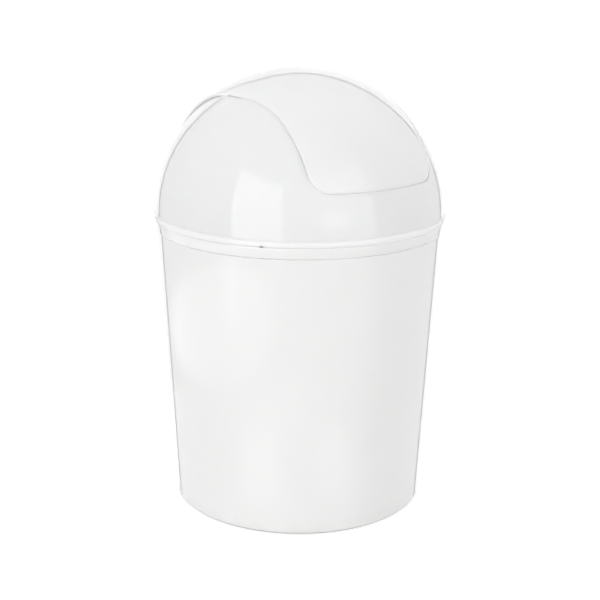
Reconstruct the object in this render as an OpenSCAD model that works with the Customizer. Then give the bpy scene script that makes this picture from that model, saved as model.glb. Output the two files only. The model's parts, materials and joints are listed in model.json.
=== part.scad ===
// Small round waste bin with a domed swing lid.
// Units are millimetres, +Z is up, the origin is the centre of the
// underside and the lid's push side faces -Y.
// Three moulded pieces: the tub, the lid frame that sits on its rim and the
// swing flap that turns on two stub pins held by the lid frame.

/* [Tub] */
// Outer radius the tub wall would have at floor level
tub_foot_r = 85.4; // [84.6:0.2:86.2]
// Outer radius of the tub wall just under the rim band
tub_top_r = 95.0; // [94.8:0.1:95.2]
// Height of the tub up to its rim edge
tub_h = 193.65; // [193.0:0.05:193.65]
// Wall thickness of the tub
tub_wall = 1.8; // [1.5:0.1:2.0]
// Height of the hollow under the floor
foot_recess = 2.6; // [1.6:0.2:4.0]
// Thickness of the tub floor
floor_t = 2.0; // [1.6:0.2:3.0]
// Radius of the rounded bottom edge
foot_fillet = 3.0; // [2.0:0.5:3.5]
// Height of the thicker rim band
band_h = 6.35; // [5.5:0.05:7.0]

/* [Lid frame] */
// Outer radius of the dome
dome_r = 96.0; // [95.8:0.1:96.2]
// Height of the dome centre above the origin
dome_z = 195.8; // [195.6:0.1:196.0]
// Thickness of the dome shell
dome_wall = 2.0; // [1.8:0.1:2.2]
// Largest radius of the rounded flange
flange_r = 97.5; // [97.3:0.1:97.9]
// Radius of the flange's rounded edge
flange_bead = 2.2; // [2.1:0.05:2.25]
// Depth of the locating skirt inside the tub
skirt_h = 8.0; // [5.0:0.5:10.0]
// Width of the pry notches in the flange edge
notch_w = 2.0; // [1.6:0.2:3.2]

/* [Flap opening] */
// Half width of the opening between the cheeks
open_w = 48.3; // [48.1:0.1:48.6]
// Half width of the opening at the crown, over the pins
open_crown_w = 52.3; // [52.0:0.1:52.5]
// Height of the opening's lower edge above the dome centre
open_low = 29.8; // [28.8:0.2:30.8]
// Corner radius of the opening
open_corner = 12.0; // [10.5:0.5:13.0]
// Gap left all round the flap
gap = 0.7; // [0.6:0.1:1.0]

/* [Swing flap] */
// Thickness of the flap skin
flap_wall = 2.4; // [2.2:0.1:2.6]
// Depth of the turned-in rim, measured from the outer surface
rim_depth = 6.5; // [5.0:0.5:8.0]
// Thickness of the turned-in rim
rim_wall = 1.8; // [1.5:0.1:2.0]
// How far the rear edges flare out over the frame
flare = 2.2; // [1.8:0.1:2.4]

/* [Swing pins] */
// Height of the swing axis above the dome centre
pivot_up = 72.0; // [71.0:0.5:73.0]
// Radius of the stub pins
pin_r = 2.4; // [2.2:0.1:2.4]
// Running clearance between pin and socket
pin_clear = 0.1; // [0.05:0.01:0.1]
// Outer radius of the sockets
socket_r = 5.5; // [5.0:0.25:6.0]

/* [Hidden] */
$fn = 96;
turned_fn = 180;                   // facets of the turned profiles

// Tub
wall_slope = (tub_top_r - tub_foot_r) / (tub_h - band_h);
rim_r = 96.5;                      // outer radius of the band at the rim
rim_round = 0.9;
lip_round = 0.6;                   // inner edge of the rim
band_round = 0.45;                 // lower edge of the band
inner_fillet = 4;                  // between floor and wall
groove_depth = 0.6;                // groove under the band

// Lid frame
dome_in_r = dome_r - dome_wall;
flange_z = tub_h + 0.05;           // underside of the flange, just clear of the rim
skirt_out_r = tub_top_r - tub_wall - 0.8;
skirt_in_r = skirt_out_r - 1.7;
notch_azimuth = 50.1;              // degrees to each side of -Y

// Opening and flap outline, heights above the dome centre
vault_h = 90;
reach = 110;                       // past the dome in every direction
crown_curve = 212;                 // radius of the lens sides
flap_w = open_w - gap;
flap_low = open_low + gap;
flap_corner = open_corner - gap;

// Rear edges of the flap that lap over the frame
lap_w = 53.0;                      // half width
lap_y = 9;                         // front end
lap_low = open_low - 4;
lap_corner = open_corner + 3;
lap_in_r = dome_r - 1.2;
lap_rise = 2.0;                    // of the lower edge above the dome
lip_clear = 0.3;                   // between the laps and the dome
flare_start_x = 21;
flare_sink = 0.25;                 // depth below the dome at flare_start_x
flare_power = 1.6;
flare_steps = 8;

// Sockets, pins and ears, as distances from the centre plane x = 0
pivot_z = dome_z + pivot_up;
socket_x = 53.0;                   // inner face of a socket
socket_length = 12;                // before it is trimmed to the dome
bore_end_x = 58.0;
ear_x = flap_w - rim_wall - 1.0;   // inner face of an ear
ear_t = rim_wall + 0.4;
ear_r = 8;
collar_r = 4.2;

// Points of an arc in the profile plane
function arc(x, z, radius, start, end, steps) = [
    for (i = [0 : steps])
        let (angle = start + (end - start) * i / steps)
        [x + radius * cos(angle), z + radius * sin(angle)]
];

// Outer radius of the tub wall at height z
function tub_r(z) = tub_foot_r + wall_slope * z;

// Box with rounded lower corners, running front to back over the dome centre
module vault(half_w, low, corner, y_start, y_end) {
    z = dome_z + low;
    length = y_end - y_start;
    corner_x = half_w - corner;
    translate([-half_w, y_start, z + corner])
        cube([2 * half_w, length, vault_h - corner]);
    translate([-corner_x, y_start, z])
        cube([2 * corner_x, length, corner + 5]);
    for (side = [-1, 1])
        translate([side * corner_x, y_start, z + corner])
            rotate([-90, 0, 0])
                cylinder(r = corner, h = length);
}

// Upright lens that widens the strip over the swing pins
module crown_lens(half_w, low, high = 100) {
    z = dome_z + low;
    height = high - low;
    clip_w = 60;
    intersection() {
        translate([half_w - crown_curve, 0, z])
            cylinder(r = crown_curve, h = height, $fn = 256);
        translate([crown_curve - half_w, 0, z])
            cylinder(r = crown_curve, h = height, $fn = 256);
        translate([-clip_w, -clip_w, z])
            cube([2 * clip_w, 2 * clip_w, height]);
    }
}

// Ball around the dome centre
module ball(radius) {
    translate([0, 0, dome_z]) sphere(r = radius);
}

// Hollow ball around the dome centre
module ball_shell(out_r, in_r) {
    difference() {
        ball(out_r);
        ball(in_r);
    }
}

// Cylinder on the swing axis; side is 1 for +X and -1 for -X
module axis_rod(side, x_start, x_end, radius) {
    translate([side * x_start, 0, pivot_z])
        rotate([0, side * 90, 0])
            cylinder(r = radius, h = x_end - x_start);
}

// ---------------------------------------------------------------- tub

// Half section, from the underside out, up the wall and back down inside
module tub_profile() {
    wall_angle = atan(wall_slope);
    fillet_x = tub_r(foot_fillet) - foot_fillet / cos(wall_angle);
    foot_in_r = fillet_x - 3.4;
    foot_bevel = 0.8;
    band_z = tub_h - band_h;
    band_wall_r = tub_r(band_z);
    groove_r = band_wall_r - groove_depth;
    lip_in_r = tub_r(tub_h) - tub_wall + 0.1;
    floor_z = foot_recess + floor_t;
    inner_z = floor_z + inner_fillet;
    inner_x = tub_r(inner_z) - tub_wall - inner_fillet;
    polygon(concat(
        [
            [0, foot_recess],
            [foot_in_r - foot_bevel, foot_recess],
            [foot_in_r, foot_recess - foot_bevel],
            [foot_in_r, 0.4],
            [foot_in_r + 0.4, 0]
        ],
        arc(fillet_x, foot_fillet, foot_fillet, -90, -wall_angle, 8),
        [
            [tub_r(band_z - 1.1), band_z - 1.1],
            [groove_r, band_z - 0.4],
            [groove_r, band_z - 0.1]
        ],
        arc(band_wall_r + 0.35, band_z + band_round, band_round, -90, -10, 4),
        arc(rim_r - rim_round, tub_h - rim_round, rim_round, 5, 90, 5),
        arc(lip_in_r + lip_round, tub_h - lip_round, lip_round, 90, 180, 4),
        arc(inner_x, inner_z, inner_fillet, 0, -90, 8),
        [[0, floor_z]]
    ));
}

module bin_body() {
    color([0.95, 0.95, 0.94])
        rotate_extrude($fn = turned_fn) tub_profile();
}

// ---------------------------------------------------------------- lid frame

// Flange with a rounded outer edge and the skirt that drops into the tub
module flange_profile() {
    skirt_z = flange_z - skirt_h;
    join_r = dome_in_r + 0.6;
    polygon(concat(
        [
            [skirt_in_r, skirt_z + 0.5],
            [skirt_in_r + 0.5, skirt_z],
            [skirt_out_r - 0.7, skirt_z],
            [skirt_out_r, skirt_z + 1.2],
            [skirt_out_r, flange_z]
        ],
        arc(flange_r - flange_bead, flange_z + flange_bead, flange_bead, -90, 90, 14),
        [
            [join_r, flange_z + 2 * flange_bead],
            [join_r, flange_z + 3.6],
            [dome_in_r - 0.9, flange_z + 2.0],
            [skirt_in_r, flange_z + 2.0]
        ]
    ));
}

// Upper half of the dome with the flap opening cut through it
module dome_shell() {
    difference() {
        intersection() {
            ball_shell(dome_r, dome_in_r);
            translate([0, 0, dome_z - 1.2]) cylinder(r = reach, h = reach);
        }
        vault(open_w, open_low, open_corner, -reach, reach);
        crown_lens(open_crown_w, low = 58);
    }
}

// Socket that holds one stub pin of the flap
module pin_socket(side) {
    intersection() {
        axis_rod(side, socket_x, socket_x + socket_length, socket_r);
        ball(dome_r - 1.0);
    }
}

// Pry notches under the flange edge
module pry_notches() {
    for (angle = [-notch_azimuth, notch_azimuth])
        rotate([0, 0, angle])
            translate([-notch_w / 2, -flange_r - 1, flange_z - 0.8])
                cube([notch_w, 3.4, 2.0]);
}

module lid_frame() {
    color([0.96, 0.96, 0.95])
        difference() {
            union() {
                dome_shell();
                rotate_extrude($fn = turned_fn) flange_profile();
                for (side = [-1, 1]) pin_socket(side);
            }
            // blind bores, started 1 mm inside the socket faces for a clean cut
            for (side = [-1, 1])
                axis_rod(side, socket_x - 1, bore_end_x, pin_r + pin_clear);
            pry_notches();
        }
}

// ---------------------------------------------------------------- swing flap

// Thin skin that fills the opening; its front half is slightly smaller
module flap_skin() {
    intersection() {
        ball_shell(dome_r, dome_r - flap_wall);
        union() {
            vault(flap_w - 0.8, open_low + 2.4, open_corner - 1.6, -reach, 0.01);
            vault(flap_w, flap_low, flap_corner, 0, reach);
            crown_lens(open_crown_w - gap, low = 60);
        }
    }
}

// Turned-in rim that stiffens the edge of the skin
module flap_rim() {
    intersection() {
        ball_shell(dome_in_r - 0.3, dome_r - rim_depth);
        difference() {
            vault(flap_w, flap_low, flap_corner, -reach, reach);
            vault(flap_w - rim_wall, flap_low + rim_wall, flap_corner - rim_wall,
                -reach - 1, reach + 1);
        }
    }
}

// Space taken by the frame's shell, with clearance, round the flap
module frame_zone() {
    inset = 0.2;
    difference() {
        ball_shell(dome_r + lip_clear, dome_r - 4);
        vault(flap_w - inset, flap_low + inset, flap_corner, 5, reach + 2);
    }
}

// Distance from the X axis through the dome centre to a ball's surface at x
function ball_section(radius, x) = sqrt(radius * radius - x * x);

// Side edges of the rear half, flared out over the cheeks of the frame
module flared_sides() {
    flare_span = lap_w - flare_start_x;
    outer = [
        for (i = [0 : flare_steps])
            let (
                x = flare_start_x + i * flare_span / flare_steps,
                rise = (flare + flare_sink) * pow((x - flare_start_x) / flare_span, flare_power)
            )
            [ball_section(dome_r - flare_sink + rise, x), x]
    ];
    inner = [for (x = [lap_w, flare_start_x]) [ball_section(lap_in_r, x), x]];
    intersection() {
        for (side = [-1, 1])
            translate([0, 0, dome_z])
                rotate([0, side * 90, 0])
                    rotate_extrude($fn = turned_fn)
                        polygon(concat(outer, inner));
        vault(lap_w + 1, lap_low, lap_corner, lap_y, reach);
    }
}

// Lower rear edge, lapping over the back wall of the frame
module rear_lap() {
    intersection() {
        ball_shell(dome_r + lap_rise, lap_in_r);
        difference() {
            vault(lap_w, lap_low, lap_corner, lap_y, reach);
            vault(lap_w - 9, open_low + 6, open_corner - 3, lap_y - 1, reach + 1);
        }
        translate([-60, lap_y, dome_z]) cube([120, 100, 56]);
    }
}

// Ear with its collar and stub pin
module pin_ear(side) {
    intersection() {
        union() {
            axis_rod(side, ear_x, ear_x + ear_t, ear_r);
            translate([side > 0 ? ear_x : -ear_x - ear_t, -ear_r, pivot_z])
                cube([ear_t, 2 * ear_r, 20]);
        }
        ball(dome_r - 0.8);
    }
    axis_rod(side, ear_x, socket_x - 0.4, collar_r);
    axis_rod(side, ear_x, bore_end_x - 0.5, pin_r);
}

module swing_flap() {
    color([0.97, 0.97, 0.96]) {
        flap_skin();
        flap_rim();
        difference() {
            union() {
                flared_sides();
                rear_lap();
            }
            frame_zone();
        }
        for (side = [-1, 1]) pin_ear(side);
    }
}

bin_body();
lid_frame();
swing_flap();
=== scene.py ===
"""Swing-lid bin: a tapered round tub, a domed lid frame and a swing flap on two pins.

Z is up and the tub stands on z = 0, centred on the Z axis. The front (push side) faces -Y
and the swing pins lie along X, left at -X. Shapes are in mm; make_object turns them to metres.
"""
import json
import math
import bpy
import numpy as np
from mathutils import Vector, Matrix


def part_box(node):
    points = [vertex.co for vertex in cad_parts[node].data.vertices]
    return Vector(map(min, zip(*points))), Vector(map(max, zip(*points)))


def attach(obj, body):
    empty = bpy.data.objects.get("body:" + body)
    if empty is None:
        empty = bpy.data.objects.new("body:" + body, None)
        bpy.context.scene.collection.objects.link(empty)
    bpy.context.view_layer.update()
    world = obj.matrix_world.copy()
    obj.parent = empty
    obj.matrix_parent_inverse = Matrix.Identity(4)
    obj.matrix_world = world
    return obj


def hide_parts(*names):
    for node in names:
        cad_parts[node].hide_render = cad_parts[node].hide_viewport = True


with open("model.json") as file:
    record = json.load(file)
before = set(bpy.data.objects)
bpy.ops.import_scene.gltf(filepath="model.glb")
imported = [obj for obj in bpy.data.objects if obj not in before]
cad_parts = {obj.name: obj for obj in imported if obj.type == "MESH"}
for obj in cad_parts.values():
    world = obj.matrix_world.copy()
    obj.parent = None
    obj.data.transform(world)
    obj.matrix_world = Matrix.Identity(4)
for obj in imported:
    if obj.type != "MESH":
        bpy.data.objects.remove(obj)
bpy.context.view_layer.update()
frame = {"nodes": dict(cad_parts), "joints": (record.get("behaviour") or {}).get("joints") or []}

MM = 0.001

# ------------------------------------------------------------------ sizes, mm
tub_hi = np.array(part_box("bin_body")[1]) / MM
lid_lo, lid_hi = [np.array(corner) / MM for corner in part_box("lid_frame")]
flap_hi = np.array(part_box("swing_flap")[1]) / MM
swing = next(joint for joint in frame["joints"] if joint["name"] == "flap_swing")

PIVOT_Z = swing["pos_m"][2] / MM
DOME_R = 96.0                   # outer radius of the dome
DOME_WALL = 2.0
INNER_R = DOME_R - DOME_WALL
DOME_Z = flap_hi[2] - DOME_R    # height of the dome's centre
FLANGE_R = (lid_hi[0] - lid_lo[0]) / 2
SEAT_Z = 193.7                  # underside of the lid flange
SKIRT_LOW = lid_lo[2]
TUB_H = tub_hi[2]
FOOT_R = 85.4                   # tub wall radius, extended down to z = 0
BAND_Z = 187.3                  # lower edge of the tub's rim band
TUB_SLOPE = 9.6 / BAND_Z
TUB_WALL = 1.8
RIM_R = 96.5                    # radius of the tub's rim band

STRIP_W = 47.75                 # half width of the flap strip away from the pins
OPEN_OFF = 0.55                 # opening edge outside the seam line
GAP = 0.22                      # between opening edge and flap
FLAP_OFF = OPEN_OFF - GAP
OPEN_LOW = 29.8                 # ends of the opening, above the dome's centre
OPEN_CORNER = 12.0
LAP_W = 53.1                    # half width of the flap's rear lip

NOTCH_AZIMUTHS = (-50.1, 50.1)  # pry notches in the flange, degrees from the front
NOTCH_HALF = math.degrees(0.95 / RIM_R)
NOTCH_DEPTH = 1.2

TUB_COLS, PIN_COLS = 288, 64    # segments round the tub, and round pins and sockets
N_EDGE, N_CORNER, N_SIDE = 26, 16, 128      # outline steps per half end, corner and side
SIDES = ((-1, "left"), (1, "right"))


# ------------------------------------------------------------------ mesh helpers
def smooth(t):
    t = np.clip(t, 0.0, 1.0)
    return t * t * (3 - 2 * t)


def unit(vectors):
    return vectors / np.linalg.norm(vectors, axis=1)[:, None]


def quarter_turn(steps):
    """Angles from 0 to 90 degrees, both ends included."""
    return [math.pi / 2 * k / steps for k in range(steps + 1)]


def make_object(name, verts, faces, body):
    mesh = bpy.data.meshes.new(name)
    mesh.from_pydata([tuple(float(c) * MM for c in v) for v in verts], [],
                     [tuple(int(i) for i in face) for face in faces])
    mesh.validate(clean_customdata=False)
    mesh.polygons.foreach_set("use_smooth", [True] * len(mesh.polygons))
    mesh.update()
    ob = bpy.data.objects.new(name, mesh)
    bpy.context.scene.collection.objects.link(ob)
    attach(ob, body)
    return ob


def ring_faces(rows, cols, close_rows=False):
    """Quads between closed rings of cols points, stored ring by ring."""
    faces = []
    for r in range(rows if close_rows else rows - 1):
        below, above = r * cols, (r + 1) % rows * cols
        for c in range(cols):
            d = (c + 1) % cols
            faces.append((above + c, above + d, below + d, below + c))
    return faces


def rounded_profile(points, support=0.5):
    """Polyline from (r, z, fillet) corners; each fillet has a support point on both sides."""
    out = []
    for i, (r, z, fillet) in enumerate(points):
        corner = np.array([r, z], float)
        if fillet <= 0 or i in (0, len(points) - 1):
            out.append(corner)
            continue
        back = np.array(points[i - 1][:2], float) - corner
        ahead = np.array(points[i + 1][:2], float) - corner
        back_len, ahead_len = np.linalg.norm(back), np.linalg.norm(ahead)
        back, ahead = back / back_len, ahead / ahead_len
        angle = math.acos(max(-1.0, min(1.0, float(back @ ahead))))
        cut = min(fillet / math.tan(angle / 2), 0.48 * back_len, 0.48 * ahead_len)
        fillet = cut * math.tan(angle / 2)
        bisector = (back + ahead) / np.linalg.norm(back + ahead)
        centre = corner + bisector * (fillet / math.sin(angle / 2))
        start, end = corner + back * cut, corner + ahead * cut
        from_centre, to_centre = start - centre, end - centre
        first = math.atan2(from_centre[1], from_centre[0])
        last = math.atan2(to_centre[1], to_centre[0])
        sweep = (last - first + math.pi) % (2 * math.pi) - math.pi
        steps = max(3, int(abs(sweep) / math.radians(11)) + 1)
        reach = min(support, 0.35 * max(back_len - cut, 0), 0.35 * max(ahead_len - cut, 0))
        if reach > 0.02:
            out.append(start + back * reach)
        for k in range(steps + 1):
            t = first + sweep * k / steps
            out.append(centre + fillet * np.array([math.cos(t), math.sin(t)]))
        if reach > 0.02:
            out.append(end + ahead * reach)
    return out


def lathe(profile, cols):
    """Skin turned about Z. The profile has its outside on its right and may end on the axis."""
    verts, rows = [], []
    for r, z in profile:
        if abs(r) < 1e-6:
            rows.append([len(verts)])
            verts.append((0.0, 0.0, z))
        else:
            rows.append(list(range(len(verts), len(verts) + cols)))
            for c in range(cols):
                t = 2 * math.pi * c / cols
                verts.append((r * math.cos(t), r * math.sin(t), z))
    faces = []
    for a, b in zip(rows[:-1], rows[1:]):
        for c in range(cols):
            d = (c + 1) % cols
            if len(a) == 1:
                faces.append((a[0], b[d], b[c]))
            elif len(b) == 1:
                faces.append((a[c], a[d], b[0]))
            else:
                faces.append((a[c], a[d], b[d], b[c]))
    return np.array(verts), faces


def lathe_on_pivot(profile, sign):
    """Skin turned about the swing axis; the profile's second column is the distance along it."""
    verts, faces = lathe(profile, PIN_COLS)
    verts = np.stack([verts[:, 2] * sign, verts[:, 0], verts[:, 1] * sign], 1)
    return verts + np.array([0, 0, PIVOT_Z], float), faces


# ------------------------------------------------------------------ outlines on the dome
def seam_x(y):
    """Half width of the flap strip at depth y, widest near the swing pins."""
    return STRIP_W + 4.45 * np.exp(-((y - 4.0) / 27.0) ** 2)


def outline(side, front, rear):
    """Closed loop round the strip, counterclockwise from above, from the front centre.

    side gives the half width at a depth; front and rear are (half width, lowest z, corner
    radius). Points are from the dome's centre, on its outer radius.
    """
    square = DOME_R * DOME_R

    def on_dome(x, z, sign):
        return (x, sign * math.sqrt(square - x * x - z * z), z)

    def corner(end, t, sign):
        width, low, radius = end
        x = width - radius + radius * math.sin(t)
        return on_dome(x, low + radius - radius * math.cos(t), sign)

    def side_end(end):
        """Depth and height where a corner meets the side."""
        width, low, radius = end
        z = low + radius
        return math.sqrt(square - width ** 2 - z ** 2), z

    half = [on_dome((front[0] - front[2]) * i / N_EDGE, front[1], -1) for i in range(N_EDGE)]
    half += [corner(front, math.pi / 2 * i / N_CORNER, -1) for i in range(N_CORNER)]
    front_y, front_z = side_end(front)
    rear_y, rear_z = side_end(rear)
    first, last = math.atan2(front_z, front_y), math.atan2(rear_z, -rear_y)
    for i in range(N_SIDE + 1):
        angle = first + (last - first) * i / N_SIDE
        x = front[0]
        for _ in range(12):         # settle x and y on both the dome and the side curve
            y = -math.sqrt(square - x * x) * math.cos(angle)
            x = float(side(y))
        half.append((x, y, math.sqrt(square - x * x - y * y)))
    half += [corner(rear, math.pi / 2 * (1 - i / N_CORNER), 1) for i in range(1, N_CORNER + 1)]
    half += [on_dome((rear[0] - rear[2]) * (1 - i / N_EDGE), rear[1], 1)
             for i in range(1, N_EDGE + 1)]
    half = np.array(half)
    other = half[1:-1][::-1] * np.array([-1, 1, 1])
    return np.concatenate([half, other])


def loop_frame(loop):
    """Unit normals, and unit directions along the dome towards the inside of the loop."""
    normals = unit(loop)
    along = np.roll(loop, -1, 0) - np.roll(loop, 1, 0)
    along -= np.sum(along * normals, 1)[:, None] * normals
    return normals, np.cross(normals, unit(along))


def shifted(normals, towards, distance, depth):
    """Points moved a distance along the dome and a depth below its surface."""
    distance = np.broadcast_to(np.asarray(distance, float), (len(normals),))
    depth = np.broadcast_to(np.asarray(depth, float), (len(normals),))
    t = distance / DOME_R
    direction = np.cos(t)[:, None] * normals + np.sin(t)[:, None] * towards
    return direction * (DOME_R - depth)[:, None]


# ------------------------------------------------------------------ tub
def build_tub():
    def wall(z):
        return FOOT_R + TUB_SLOPE * z

    # (r, z, fillet): underside, outer wall, rim band, inner wall, inside floor
    points = [
        (0, 2.0, 0), (2.6, 2.0, 0.3), (3.1, 2.6, 0.3), (40.0, 2.6, 0), (60.0, 2.6, 0),
        (79.15, 2.6, 1.0), (79.15, 0.0, 0.45), (wall(0), 0.0, 3.0),
    ]
    points += [(wall(z), z, 0) for z in (12, 30, 60, 90, 120, 150, 175, 184)]
    points += [
        (wall(BAND_Z - 1.1), BAND_Z - 1.1, 0.3), (94.2, BAND_Z - 0.35, 0.2),
        (95.95, BAND_Z + 0.05, 0.2), (RIM_R, TUB_H - 1.2, 0.5), (RIM_R, TUB_H, 0.15),
        (wall(TUB_H) - TUB_WALL, TUB_H, 0.7),
    ]
    points += [(wall(z) - TUB_WALL, z, 0) for z in (184, 160, 120, 80, 40, 14)]
    points += [
        (wall(4.6) - TUB_WALL, 4.6, 4.0), (60.0, 4.6, 0), (30.0, 4.6, 0), (9.0, 4.6, 0.4),
        (8.2, 4.35, 0.4), (0, 4.35, 0),
    ]
    verts, faces = lathe(rounded_profile(points), TUB_COLS)
    ob = make_object("bin_body_shell", verts, faces, "tub")
    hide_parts("bin_body")
    return ob


# ------------------------------------------------------------------ lid frame
def lid_azimuths(loop_azimuths):
    """Azimuths of the lid's columns: those of the opening, plus the notch edges."""
    extra = []
    for azimuth in NOTCH_AZIMUTHS:
        for e in (-NOTCH_HALF - 0.05, -NOTCH_HALF, 0.0, NOTCH_HALF, NOTCH_HALF + 0.05):
            extra.append(math.radians(azimuth + e) % (2 * math.pi))
    candidates = sorted(set(np.round(np.concatenate([loop_azimuths, extra]), 7)))
    notch_edges = set(np.round(extra, 7))
    keep = [candidates[0]]
    for a in candidates[1:]:
        if a - keep[-1] >= 0.0006 or a in notch_edges:
            keep.append(a)
    return np.array(keep)


def opening_rows(normals, outward):
    """Rings over the opening's edge, inner skin to outer skin, and the inner skin's first ring."""
    edge_round = 0.6
    edge_depth, bevel = 0.66, 2.5   # front edges are bevelled inside so the flap clears them
    soft_w, soft_depth = 2.8, 0.3   # wide, shallow outer rounding along the front
    front = 1 - smooth((normals[:, 1] * DOME_R - 1.0) / 12.0)
    inner_start = shifted(normals, outward, edge_round + 0.35 + bevel * front, DOME_WALL)
    rows = []
    for t in quarter_turn(5):
        depth = DOME_WALL - edge_round * (1 - math.cos(t))
        slant = bevel * front * (depth - edge_depth) / (DOME_WALL - edge_depth)
        rows.append(shifted(normals, outward, edge_round * (1 - math.sin(t)) + slant, depth))
    rows.append(shifted(normals, outward, 0.04, edge_depth))
    # (distance from the edge, depth) of the front rounding; small near the crest and at the back
    soft = [(0.0, 0.5), (0.06, 0.38), (0.2, 0.29)]
    soft += [(v, soft_depth * (1 - v / soft_w) ** 2) for v in (0.45, 0.8, 1.2, 1.6, 2.0, 2.4, 2.8)]
    for t, (distance, depth) in zip(quarter_turn(9), soft):
        rows.append(shifted(normals, outward,
                            distance * front + edge_round * (1 - math.cos(t)) * (1 - front),
                            depth * front + edge_round * (1 - math.sin(t)) * (1 - front)))
    rows.append(shifted(normals, outward,
                        (soft_w + 0.4) * front + (edge_round + 0.3) * (1 - front), 0.0))
    return rows, inner_start


def skin_rows(start, azimuths, end_elevation, radius, count):
    """Rings on a sphere from a start ring down to one of constant elevation."""
    a0 = np.arctan2(start[:, 0], -start[:, 1])
    e0 = np.arcsin(start[:, 2] / np.linalg.norm(start, axis=1))
    turn = (azimuths - a0 + math.pi) % (2 * math.pi) - math.pi
    rows = []
    for k in range(1, count + 1):
        t = k / count
        a, e = a0 + turn * t, e0 + (end_elevation - e0) * t
        ring = np.stack([np.sin(a) * np.cos(e), -np.cos(a) * np.cos(e), np.sin(e)], 1)
        rows.append(ring * radius)
    return rows


def flange_profile():
    """(r, z from the dome's centre) down the flange and skirt and back up inside."""
    seat, low = SEAT_Z - DOME_Z, SKIRT_LOW - DOME_Z
    shelf = SEAT_Z + 2.0 - DOME_Z
    bead = 2.2
    bead_r = FLANGE_R - bead
    points = [(95.955, 2.75), (95.968, 2.42), (96.02, 2.24), (96.12, 2.13)]
    for k in range(15):
        t = math.radians(62 - (62 + 90) * k / 14)
        power = 1.0 if t > 0 else 0.62      # the lower half of the bead is squarer
        rise = math.copysign(abs(math.sin(t)) ** power, t)
        points.append((bead_r + bead * math.cos(t) ** power, seat + bead + bead * rise))
    tail = rounded_profile([
        (bead_r, seat, 0), (92.4, seat, 0.3), (92.4, low + 1.2, 0.5), (91.7, low, 0.4),
        (90.7, low, 0.5), (90.7, shelf, 0.4), (93.1, shelf, 0.5),
        (INNER_R - 0.03, 2.2, 0.6), (INNER_R - 0.09, 4.2, 0)], support=0.3)
    return points + tail[1:]


def cut_notches(rows, azimuths):
    """Lift the underside of the flange edge at the pry notches."""
    top = SEAT_Z - DOME_Z + NOTCH_DEPTH
    inside = np.zeros(len(azimuths), bool)
    for azimuth in NOTCH_AZIMUTHS:
        away = (np.degrees(azimuths) - azimuth + 180) % 360 - 180
        inside |= np.abs(away) < NOTCH_HALF + 0.01
    for row in rows:
        radius = np.hypot(row[:, 0], row[:, 1])
        row[inside & (radius > 94.9) & (row[:, 2] < top), 2] = top


def build_lid_shell():
    def side(y):
        return seam_x(y) + OPEN_OFF + 0.42 * math.exp(-((y + 6.2) / 5.5) ** 2)

    end = (STRIP_W + OPEN_OFF, OPEN_LOW, OPEN_CORNER)
    loop = outline(side, end, end)
    loop_normals, loop_inward = loop_frame(loop)
    loop_az = np.unwrap(np.arctan2(loop[:, 0], -loop[:, 1])) % (2 * math.pi)
    azimuths = lid_azimuths(loop_az)
    order = np.argsort(loop_az)
    source = loop_az[order]
    source = np.concatenate([source, [source[0] + 2 * math.pi]])

    def resample(values):
        values = values[order]
        values = np.concatenate([values, values[:1]])
        return np.stack([np.interp(azimuths, source, values[:, k]) for k in range(3)], 1)

    normals = unit(resample(loop_normals))
    outward = -resample(loop_inward)
    outward = unit(outward - np.sum(outward * normals, 1)[:, None] * normals)
    rows, inner_start = opening_rows(normals, outward)
    rows += skin_rows(rows[-1], azimuths, math.asin(3.3 / DOME_R), DOME_R, 34)
    for r, z in flange_profile():
        rows.append(np.stack([np.sin(azimuths) * r, -np.cos(azimuths) * r,
                              np.full(len(azimuths), z)], 1))
    rows += skin_rows(inner_start, azimuths, math.asin(5.6 / INNER_R), INNER_R, 30)[::-1]
    rows.append(inner_start)
    cut_notches(rows, azimuths)
    verts = np.concatenate(rows) + np.array([0, 0, DOME_Z])
    faces = ring_faces(len(rows), len(azimuths), close_rows=True)
    ob = make_object("lid_frame_shell", verts, faces, "lid")
    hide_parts("lid_frame")
    return ob


def build_socket(sign, side):
    """Blind pin socket under a cheek, its outer end closed inside the dome's wall."""
    # (r, distance from the centre plane): closed end of the bore, bore, mouth, outside
    profile = [
        (0.0, 58.0), (2.1, 58.0), (2.5, 57.6), (2.5, 54.0), (2.5, 53.55), (2.75, 53.15),
        (3.0, 53.0), (4.9, 53.0), (5.3, 53.12), (5.5, 53.5), (5.5, 54.2)]
    buried = (DOME_R - 1.0) ** 2
    verts, faces = lathe_on_pivot(profile, sign)
    last = len(verts) - PIN_COLS
    end = verts[last:].copy()
    end[:, 0] = sign * np.sqrt(buried - end[:, 1] ** 2 - (end[:, 2] - DOME_Z) ** 2)
    centre = (sign * math.sqrt(buried - (PIVOT_Z - DOME_Z) ** 2), 0, PIVOT_Z)
    end_first = len(verts)
    centre_index = end_first + PIN_COLS
    for c in range(PIN_COLS):
        d = (c + 1) % PIN_COLS
        faces.append((last + c, last + d, end_first + d, end_first + c))
        faces.append((end_first + c, end_first + d, centre_index))
    verts = np.concatenate([verts, end, [centre]])
    return make_object("lid_socket_" + side, verts, faces, "lid")


# ------------------------------------------------------------------ swing flap
def flare_of(direction):
    """How far the flap's outer skin stands proud of the dome, by direction from its centre."""
    p = direction * DOME_R
    x, y, z = np.abs(p[..., 0]), p[..., 1], p[..., 2]
    rear = smooth((y + 4.0) / 26.0)
    across = np.clip((x - 21.0) / 31.4, 0, 1) ** 1.7
    down = np.clip((54.0 - z) / 26.0, 0, 1) ** 1.7
    return 2.1 * (1 - (1 - across) * (1 - down)) * rear


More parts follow.
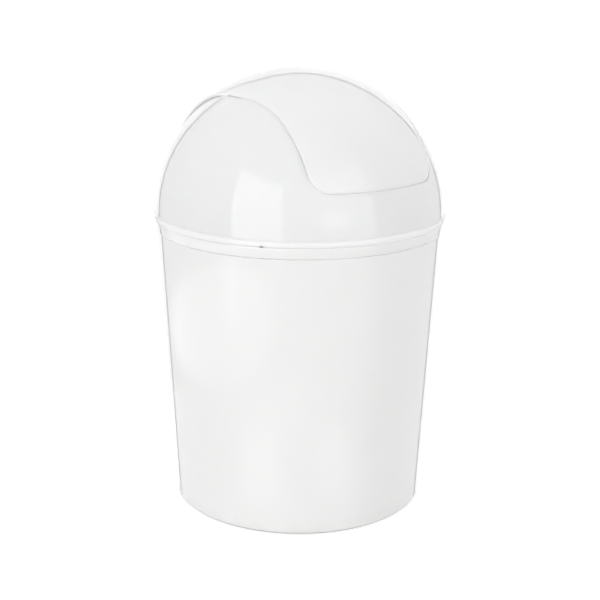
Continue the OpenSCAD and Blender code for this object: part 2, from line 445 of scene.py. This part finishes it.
def coons(ring, n1, n2):
    """Coons patch of n2 x n1 cells filling a closed ring of 2 * (n1 + n2) points."""
    ring = np.asarray(ring)
    near = ring[0:n1 + 1]
    right = ring[n1:n1 + n2 + 1]
    far = ring[n1 + n2:2 * n1 + n2 + 1][::-1]
    left = np.concatenate([ring[2 * n1 + n2:], ring[:1]])[::-1]
    u = np.linspace(0, 1, n1 + 1)[None, :, None]
    v = np.linspace(0, 1, n2 + 1)[:, None, None]
    patch = (1 - v) * near[None] + v * far[None] + (1 - u) * left[:, None] + u * right[:, None]
    patch -= ((1 - u) * (1 - v) * ring[0] + u * (1 - v) * ring[n1]
              + (1 - u) * v * ring[2 * n1 + n2] + u * v * ring[n1 + n2])
    return patch


def dome_patch(ring, n1, n2):
    """Grid of unit directions inside a ring, spread by angle about X and by x."""
    p = unit(ring) * DOME_R
    flat = coons(np.stack([np.arctan2(p[:, 2], -p[:, 1]), p[:, 0]], 1), n1, n2)
    angle, x = flat[..., 0], flat[..., 1]
    rho = np.sqrt(np.maximum(DOME_R * DOME_R - x * x, 0))
    return np.stack([x, -rho * np.cos(angle), rho * np.sin(angle)], -1) / DOME_R


def shoulder_rows(normals, inward):
    """Front edge: a rounded shoulder."""
    width, depth = 4.6, 1.0
    rows = [shifted(normals, inward, width + 0.5, 0.0)]
    for t in quarter_turn(10):
        rows.append(shifted(normals, inward, width * (1 - math.sin(t)), depth * (1 - math.cos(t))))
    return np.array(rows)


def lip_rows(wall_normals, wall_inward, lip_normals, lip_inward):
    """Rear edge: a lip reaching over the frame, as many rings as the shoulder."""
    clearance = 0.06                # lip's underside above the dome
    flare_top = flare_of(unit(shifted(lip_normals, lip_inward, 1.2, 0.0)))
    flare = flare_of(unit(shifted(lip_normals, lip_inward, 0.7, 0.0)))
    rounding = np.minimum(0.75, 0.8 * (flare - clearance))
    rows = [shifted(lip_normals, lip_inward, 1.2, -flare_top)]
    for t in quarter_turn(4):
        rows.append(shifted(lip_normals, lip_inward, 0.7 * (1 - math.sin(t)),
                            -flare + rounding * (1 - math.cos(t))))
    rows.append(shifted(lip_normals, lip_inward, 0.02, -clearance))
    for t in (0.4, 0.85, 1.0):      # underside, from the lip's edge in to the flap's wall
        direction = unit(lip_normals + (wall_normals - lip_normals) * t)
        rows.append(direction * (DOME_R + clearance - 0.01 * t))
    for depth in (0.1, 1.2):
        rows.append(shifted(wall_normals, wall_inward, 0.0, depth))
    return np.array(rows)


def rim_rows(normals, inward, skin):
    """Turned-in rim, down the flap's wall and back up to the inner skin."""
    width, depth, edge_round, root_round = 1.8, 6.5, 0.6, 1.6
    path = [(0.0, 3.8), (0.0, 5.2)]         # (distance inwards, depth)
    path += [(edge_round * (1 - math.cos(t)), depth - edge_round * (1 - math.sin(t)))
             for t in quarter_turn(4)]
    path += [(width - edge_round * (1 - math.sin(t)), depth - edge_round * (1 - math.cos(t)))
             for t in quarter_turn(4)]
    path.append((width, 5.2))
    path += [(width + root_round * (1 - math.cos(t)), skin + root_round * (1 - math.sin(t)))
             for t in quarter_turn(5)]
    path.append((width + root_round + 0.4, skin))
    return [shifted(normals, inward, distance, down) for distance, down in path]


def build_flap_shell():
    skin = 2.4                      # depth of the flap's inner skin

    def wall_side(y):
        return seam_x(y) + FLAP_OFF - 0.5 * np.exp(-((y - 4.0) / 8.0) ** 2)

    def lip_side(y):
        return wall_side(y) + (LAP_W - wall_side(y)) * smooth((y - 7.0) / 8.0)

    end = (STRIP_W + FLAP_OFF, OPEN_LOW + 0.2, OPEN_CORNER - GAP)
    wall_loop = outline(wall_side, end, end)
    wall = loop_frame(wall_loop)
    lip = loop_frame(outline(lip_side, end, (LAP_W, 26.2, 15.0)))
    rear = smooth((wall_loop[:, 1] + 6.0) / 12.0)[None, :, None]
    rows = list(shoulder_rows(*wall) * (1 - rear) + lip_rows(*wall, *lip) * rear)
    rows += rim_rows(*wall, skin)
    # start every ring halfway round a front corner, where the patches have theirs
    rows = [np.roll(row, N_EDGE + N_CORNER // 2, 0) for row in rows]

    cols = len(wall_loop)
    n1, n2 = 2 * N_EDGE + N_CORNER, N_SIDE + N_CORNER
    verts = list(np.concatenate(rows))
    faces = ring_faces(len(rows), cols)

    def add_patch(row, directions, radius, flip):
        """Fill a ring, sharing its vertices."""
        grid = directions * radius
        base = row * cols
        index = {}
        for u in range(n1 + 1):
            index[(0, u)] = base + u
            index[(n2, u)] = base + (2 * n1 + n2 - u) % cols
        for v in range(n2 + 1):
            index[(v, n1)] = base + n1 + v
            index[(v, 0)] = base + (cols - v) % cols
        for v in range(1, n2):
            for u in range(1, n1):
                index[(v, u)] = len(verts)
                verts.append(grid[v, u])
        for v in range(n2):
            for u in range(n1):
                quad = (index[(v, u)], index[(v, u + 1)], index[(v + 1, u + 1)], index[(v + 1, u)])
                faces.append(quad[::-1] if flip else quad)

    outer = dome_patch(rows[0], n1, n2)
    add_patch(0, outer, (DOME_R + flare_of(outer))[..., None], flip=False)
    add_patch(len(rows) - 1, dome_patch(rows[-1], n1, n2), DOME_R - skin, flip=True)
    verts = np.array(verts) + np.array([0, 0, DOME_Z])
    ob = make_object("swing_flap_shell", verts, faces, "flap")
    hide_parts("swing_flap")
    return ob


def build_pin(sign, side):
    """Stub pin on a disc whose upper half is pulled up into the skin as an ear."""
    ear_r, ear_outer = 8.0, 46.7
    # (r, distance from the centre plane, fillet)
    profile = rounded_profile([
        (0, 44.45, 0), (7.2, 44.45, 0.25), (ear_r, 44.9, 0.5), (ear_r, ear_outer, 0.5),
        (4.3, ear_outer, 0.5), (4.2, 52.6, 0.35), (2.4, 52.6, 0.2), (2.4, 57.5, 0.6),
        (0, 57.5, 0)], support=0.2)
    verts, faces = lathe_on_pivot(profile[::-1], sign)
    for i, (x, y, z) in enumerate(verts):
        r = math.hypot(y, z - PIVOT_Z)
        if abs(x) < ear_outer + 0.01 and r > 5.0 and z > PIVOT_Z - 0.001:
            pull = min(1.0, (r - 5.0) / 2.2)
            angle = math.atan2(z - PIVOT_Z, y)
            top = math.sqrt(max((DOME_R - 1.1) ** 2 - x * x - y * y, 0)) + DOME_Z
            reach = max(abs(math.cos(angle)), abs(math.sin(angle)))
            ear_y = max(-ear_r, min(ear_r, r * math.cos(angle) / reach))
            ear_z = PIVOT_Z + (top - PIVOT_Z) * math.sin(angle) / reach
            verts[i] = (x, y + (ear_y - y) * pull, z + (ear_z - z) * pull)
    return make_object("flap_pin_" + side, verts, faces, "flap")


# ------------------------------------------------------------------ shader helper
class Shader:
    """Short forms for building a node tree. Inputs take a value or another node's output."""

    def __init__(self, tree, clear=True):
        self.tree = tree
        if clear:
            tree.nodes.clear()

    def feed(self, socket, value):
        if isinstance(value, bpy.types.NodeSocket):
            self.tree.links.new(value, socket)
        else:
            socket.default_value = value

    def new(self, kind, inputs=None, **settings):
        made = self.tree.nodes.new("ShaderNode" + kind)
        for name, value in settings.items():
            setattr(made, name, value)
        for name, value in (inputs or {}).items():
            self.feed(made.inputs[name], value)
        return made

    def math(self, operation, *values):
        made = self.new("Math", operation=operation)
        for socket, value in zip(made.inputs, values):
            self.feed(socket, value)
        return made.outputs[0]

    def product(self, first, *others):
        for value in others:
            first = self.math("MULTIPLY", first, value)
        return first

    def linear(self, value, scale, offset):
        return self.math("MULTIPLY_ADD", value, scale, offset)

    def ramp(self, value, start, end, low=0.0, high=1.0):
        """Smooth step from low at start to high at end."""
        return self.new("MapRange", {
            "Value": value, "From Min": start, "From Max": end, "To Min": low, "To Max": high,
        }, interpolation_type="SMOOTHSTEP").outputs["Result"]

    def noise(self, vector, scale, detail, rough, w=0.0):
        return self.new("TexNoise", {
            "Vector": vector, "Scale": scale, "Detail": detail, "Roughness": rough, "W": w,
        }, noise_dimensions="4D").outputs["Fac"]

    def mix(self, kind, factor, a, b):
        return self.new("Mix", {"Factor": factor, "A": a, "B": b},
                        data_type=kind).outputs["Result"]


# ------------------------------------------------------------------ plastic
WHITE = (0.84, 0.84, 0.837)


def tint(red, green, blue):
    """White plastic with each channel scaled."""
    return (WHITE[0] * red, WHITE[1] * green, WHITE[2] * blue, 1)


def foot_scuffs_and_shade(sh, vec, height, colour, rough, seed):
    """Scuffs on the foot, and a painted shade line where it meets the floor, standing in for the
    contact shadow.
    """
    low = sh.ramp(height, 0.012, 0.0)
    blotch = sh.noise(vec, scale=120.0, detail=4.0, rough=0.6, w=seed + 5.0)
    scuff = sh.product(low, sh.ramp(blotch, 0.42, 0.7))
    colour = sh.mix("RGBA", sh.product(scuff, 0.25), colour, tint(0.82, 0.81, 0.78))
    rough = sh.math("ADD", rough, sh.product(scuff, 0.25))
    # painted shade: the bottom 2 mm get a darker colour that stands in for the contact shadow at
    # the floor
    painted_contact_shade = sh.product(sh.ramp(height, 0.0021, 0.0013), 0.8)
    return sh.mix("RGBA", painted_contact_shade, colour, tint(0.62, 0.62, 0.61)), rough


def surface_bump(sh, vec, scratch, seed):
    """Moulding waviness, a very fine orange peel and shallow scratches."""
    waves = sh.noise(vec, scale=9.0, detail=1.0, rough=0.4, w=seed + 1.3)
    peel = sh.noise(vec, scale=900.0, detail=2.0, rough=0.5, w=seed + 2.2)
    normal = None
    # height, strength, distance in metres, inverted
    for height, strength, distance, invert in (
            (waves, 0.35, 0.0006, False), (peel, 0.12, 0.00002, False),
            (scratch, 0.2, 0.00002, True)):
        bump = sh.new("Bump", {"Strength": strength, "Distance": distance, "Height": height},
                      invert=invert)
        if normal is not None:
            sh.feed(bump.inputs["Normal"], normal)
        normal = bump.outputs[0]
    return normal


def painted_seam_light(sh, x, y, z):
    """Painted light: emission on the occluded walls of narrow seams, standing in for light through
    the thin walls; none under the rear lip or in the notches.
    """
    occlusion = sh.new("AmbientOcclusion", {"Distance": 0.0012}, samples=8)
    painted_light_strength = sh.product(
        sh.ramp(occlusion.outputs["AO"], 0.9, 0.3),
        sh.ramp(y, 0.008, 0.015, 1.0, 0.0),         # off towards the rear
        sh.ramp(y, -0.020, -0.006, 1.0, 1.4),       # stronger beside the pins
        sh.ramp(z, 0.230, 0.245, 0.62, 0.42),       # weaker near the crest
        sh.ramp(z, 0.205, 0.215, 0.25, 1.0))        # weak at the rim
    azimuth = math.radians(NOTCH_AZIMUTHS[1])
    # ABSOLUTE and SQRT don't use their second input
    dx = sh.math("SUBTRACT", sh.math("ABSOLUTE", x, 0.0), RIM_R * MM * math.sin(azimuth))
    dy = sh.math("ADD", y, RIM_R * MM * math.cos(azimuth))
    square = sh.math("ADD", sh.product(dx, dx), sh.product(dy, dy))
    from_notch = sh.math("SQRT", square, 0.0)
    return sh.product(painted_light_strength, sh.ramp(from_notch, 0.0018, 0.0028))


def plastic(name, rough, seed, scatter, foot=False):
    """Glossy white plastic with painted shade in creases, painted light in seams and, with foot,
    scuffs and painted contact shade; scatter is the subsurface scale in metres.
    """
    material = bpy.data.materials.new(name)
    material.use_nodes = True
    sh = Shader(material.node_tree)
    output = sh.new("OutputMaterial")
    vec = sh.new("TexCoord").outputs["Object"]
    x, y, z = sh.new("SeparateXYZ", {"Vector": vec}).outputs
    # faint clouds, lighter worn edges, and painted shade darkening the creases
    cloud = sh.noise(vec, scale=14.0, detail=3.0, rough=0.55, w=seed)
    fleck = sh.noise(vec, scale=260.0, detail=2.0, rough=0.5, w=seed + 3.1)
    colour = sh.mix("RGBA", sh.ramp(cloud, 0.3, 0.7), tint(0.985, 0.985, 0.985), tint(1, 1, 1))
    pointiness = sh.new("NewGeometry").outputs["Pointiness"]
    wear = sh.product(sh.ramp(pointiness, 0.53, 0.62), sh.ramp(fleck, 0.42, 0.6))
    colour = sh.mix("RGBA", sh.product(wear, 0.35), colour, tint(1.04, 1.04, 1.04))
    # painted shade: grooves and creases (low pointiness) get a darker base colour that stands in
    # for their shade
    painted_crease_shade = sh.product(sh.ramp(pointiness, 0.46, 0.36), 0.45)
    colour = sh.mix("RGBA", painted_crease_shade, colour, tint(0.72, 0.72, 0.71))
    # fine handling scratches: lines of stretched noise, in patches
    stretched = sh.new("Mapping", {
        "Vector": vec, "Rotation": (0.3, 0.5, 0.2 + seed), "Scale": (1.0, 1.0, 14.0)})
    lines = sh.noise(stretched.outputs[0], scale=60.0, detail=1.0, rough=0.4, w=seed + 7.7)
    scratch = sh.ramp(sh.math("ABSOLUTE", sh.math("SUBTRACT", lines, 0.5)), 0.012, 0.0)
    patches = sh.noise(vec, scale=22.0, detail=1.0, rough=0.5, w=seed + 11.0)
    scratch = sh.product(scratch, sh.ramp(patches, 0.52, 0.68))
    # roughness: clouds, then wear and scratches
    roughness = sh.linear(sh.ramp(cloud, 0.25, 0.75), 0.02, rough - 0.01)
    roughness = sh.math("ADD", roughness, sh.product(wear, 0.08))
    roughness = sh.math("ADD", roughness, sh.product(scratch, 0.05))
    # real scuffs on the foot, plus painted contact shade along the bottom edge
    if foot:
        colour, roughness = foot_scuffs_and_shade(sh, vec, z, colour, roughness, seed)
    surface = sh.new("BsdfPrincipled", {
        "Base Color": colour,
        "Roughness": roughness,
        "IOR": 1.52,
        "Subsurface Weight": 0.8,
        "Subsurface Radius": (1.0, 0.98, 0.95),
        "Subsurface Scale": scatter,
        "Normal": surface_bump(sh, vec, scratch, seed),
        # painted light: the seams emit the plastic's own colour, though nothing there is a lamp
        "Emission Color": colour,
        "Emission Strength": painted_seam_light(sh, x, y, z),
    })
    sh.feed(output.inputs[0], surface.outputs[0])
    return material


# ------------------------------------------------------------------ stage
HEAD = math.radians(36.5)       # the camera stands this far round from the front, to the left


def table_light(sh, total, azimuth, elevation):
    """Patches of light below the horizon, on a flat map that follows the tub's wall."""
    half = sh.product(azimuth, math.pi / 360)
    across = sh.linear(sh.math("SINE", half), 137.0, 303.0)
    bend = sh.product(sh.math("COSINE", half), 5.86)
    down = sh.linear(sh.math("ADD", elevation, bend), -22.57, -68.0)
    below = sh.ramp(elevation, -14.0, -15.0)
    # rounded blob: centre 226, 322 and half sizes 49, 60 on the map
    blob_x = sh.math("POWER", sh.math("ABSOLUTE", sh.linear(across, 1 / 49.0, -226.0 / 49.0)), 2.6)
    blob_y = sh.math("POWER", sh.math("ABSOLUTE", sh.linear(down, 1 / 60.0, -322.0 / 60.0)), 2.6)
    blob = sh.product(sh.ramp(sh.math("ADD", blob_x, blob_y), 1.35, 0.65), below)
    total = sh.linear(blob, 0.8, total)
    # across from, to, down from, to, softness across, down, strength
    for x0, x1, y0, y1, soft_x, soft_y, strength in (
            (232, 246, 236, 322, 1.5, 8, 0.6), (241, 280, 432, 500, 5, 10, 0.7),
            (326, 356, 432, 500, 5, 10, 0.6), (166, 300, 380, 540, 14, 14, 0.25),
            (371.5, 374.5, 275, 440, 0.8, 8, 0.3)):
        area = window(sh, across, x0, x1, soft_x) + window(sh, down, y0, y1, soft_y)
        total = sh.linear(sh.product(*area, below), strength, total)
    return total


def window(sh, value, start, end, soft):
    """Two masks whose product is 1 between start and end."""
    return [sh.ramp(value, start - soft, start + soft), sh.ramp(value, end + soft, end - soft)]


def backdrop_light(sh, total, x, y, z):
    """White backdrop behind the bin, with a narrow dark edge all round it."""
    depth = sh.math("MAXIMUM", y, 0.001)
    u = sh.math("ABSOLUTE", sh.math("DIVIDE", x, depth))
    v = sh.math("MAXIMUM", sh.math("DIVIDE", z, depth), 0.0)
    side = sh.math("POWER", sh.math("DIVIDE", u, 0.62), 3.0)
    rise = sh.math("POWER", sh.math("DIVIDE", v, 0.58), 3.0)
    radius = sh.math("POWER", sh.math("ADD", side, rise), 1 / 3.0)
    behind = sh.ramp(y, 0.0, 0.05)
    card = sh.product(sh.ramp(radius, 1.0, 0.97), behind)
    edge = sh.product(sh.ramp(radius, 0.965, 0.985), sh.ramp(radius, 1.155, 1.125), behind)
    total = sh.math("ADD", total, sh.product(card, 0.24))
    return sh.product(total, sh.math("SUBTRACT", 1.0, sh.product(edge, 0.97)))


def build_world():
    world = bpy.data.worlds.new("studio")
    bpy.context.scene.world = world
    world.use_nodes = True
    sh = Shader(world.node_tree)
    output = sh.new("OutputWorld")
    # turn the view direction so the camera's side becomes -Y
    turned = sh.new("VectorRotate", {
        "Vector": sh.new("TexCoord").outputs["Generated"], "Angle": HEAD,
    }, rotation_type="Z_AXIS")
    x, y, z = sh.new("SeparateXYZ", {"Vector": turned.outputs[0]}).outputs
    # degrees; azimuth is 0 at the camera and grows to its right
    azimuth = sh.product(sh.math("ARCTAN2", x, sh.product(y, -1.0)), 180 / math.pi)
    elevation = sh.product(sh.math("ARCSINE", z), 180 / math.pi)
    # base level, then changes in it: coordinate, start, end, change
    total = sh.math("ADD", sh.ramp(azimuth, 59.3, 60.7, 0.0, -0.31), 0.86)
    for value, start, end, change in (
            (azimuth, 68.0, 120.0, 0.50), (elevation, 30.0, 75.0, -0.04),
            (azimuth, -60.0, -130.0, 0.06)):
        total = sh.math("ADD", total, sh.ramp(value, start, end, 0.0, change))
    # big window softbox left of the camera, its left and top edges leaning a little
    left = sh.math("SUBTRACT", azimuth, sh.linear(elevation, -0.089, -53.4))
    top = sh.math("SUBTRACT", sh.linear(azimuth, -0.146, 28.5), elevation)
    softbox = sh.product(sh.ramp(left, -0.6, 0.6), sh.ramp(azimuth, -13.5, -14.5),
                         sh.ramp(elevation, -15.5, -14.5), sh.ramp(top, -0.7, 0.7))
    total = sh.linear(softbox, 1.7, total)
    # wide fill in front and to the right, and brighter panes in it:
    # azimuth from, to, elevation from, to, softness of each, strength
    for a0, a1, e0, e1, soft_a, soft_e, strength in (
            (-14, 60, -15, 40, 0.7, 1.5, 0.30), (17, 60, -15, 40, 1.5, 1.5, 0.45),
            (17, 39, 0, 9, 0.6, 0.6, 1.2)):
        area = window(sh, azimuth, a0, a1, soft_a) + window(sh, elevation, e0, e1, soft_e)
        total = sh.linear(sh.product(*area), strength, total)
    total = table_light(sh, total, azimuth, elevation)
    total = backdrop_light(sh, total, x, y, z)
    total = sh.product(total, 1.006)
    # the camera itself sees plain white
    camera_ray = sh.new("LightPath").outputs["Is Camera Ray"]
    strength = sh.mix("FLOAT", camera_ray, total, 1.05)
    background = sh.new("Background", {"Strength": strength, "Color": (1, 1, 1, 1)})
    sh.feed(output.inputs[0], background.outputs[0])


def build_floor():
    bpy.ops.mesh.primitive_circle_add(vertices=96, radius=14.0, fill_type="NGON",
                                      location=(0, 0, 0))
    floor = bpy.context.object
    floor.name = "floor"
    floor.location.z = -0.0002
    material = bpy.data.materials.new("pale_floor")
    material.use_nodes = True
    sh = Shader(material.node_tree, clear=False)
    vec = sh.new("TexCoord").outputs["Object"]
    shade = sh.ramp(sh.noise(vec, scale=3.0, detail=3.0, rough=0.5), 0.3, 0.7, 0.73, 0.74)
    grey = sh.new("CombineColor", {"Red": shade, "Green": shade, "Blue": shade})
    camera_ray = sh.new("LightPath").outputs["Is Camera Ray"]
    surface = material.node_tree.nodes["Principled BSDF"]
    for name, value in (
            ("Base Color", grey.outputs[0]), ("Roughness", 0.9), ("Specular IOR Level", 0.0),
            ("Emission Color", (1, 1, 1, 1)), ("Emission Strength", sh.product(camera_ray, 0.5))):
        sh.feed(surface.inputs[name], value)
    floor.data.materials.append(material)
    floor.visible_glossy = False


def build_camera():
    distance, height = 8.5216 * FLANGE_R * MM, 3.8669 * FLANGE_R * MM
    pitch, roll = 0.2846, 0.0079    # radians
    data = bpy.data.cameras.new("camera")
    camera = bpy.data.objects.new("camera", data)
    scene = bpy.context.scene
    scene.collection.objects.link(camera)
    scene.camera = camera
    data.sensor_width = 36.0
    data.lens = 76.056
    data.shift_x = 0.0014
    data.clip_start, data.clip_end = 0.02, 50.0
    camera.location = (-math.sin(HEAD) * distance, -math.cos(HEAD) * distance, height)
    forward = Vector((math.sin(HEAD) * math.cos(pitch), math.cos(HEAD) * math.cos(pitch),
                      -math.sin(pitch)))
    camera.rotation_mode = "QUATERNION"
    camera.rotation_quaternion = (forward.to_track_quat("-Z", "Y")
                                  @ Matrix.Rotation(roll, 4, "Z").to_quaternion())


# ------------------------------------------------------------------ build
tub_parts = [build_tub()]
lid_parts = [build_lid_shell()] + [build_socket(sign, side) for sign, side in SIDES]
flap_parts = [build_flap_shell()] + [build_pin(sign, side) for sign, side in SIDES]

tub_plastic = plastic("tub_plastic", rough=0.045, seed=0.0, scatter=0.0012, foot=True)
lid_plastic = plastic("lid_plastic", rough=0.03, seed=4.0, scatter=0.004)
flap_plastic = plastic("flap_plastic", rough=0.03, seed=8.0, scatter=0.004)
for parts, cad_name, material in (
        (tub_parts, "bin_body", tub_plastic), (lid_parts, "lid_frame", lid_plastic),
        (flap_parts, "swing_flap", flap_plastic)):
    for ob in parts + [frame["nodes"][cad_name]]:
        ob.data.materials.clear()
        ob.data.materials.append(material)

build_world()
build_floor()
build_camera()

view = bpy.context.scene.view_settings
view.view_transform = "Standard"
view.look = "None"
view.exposure = 0.0
view.gamma = 1.0
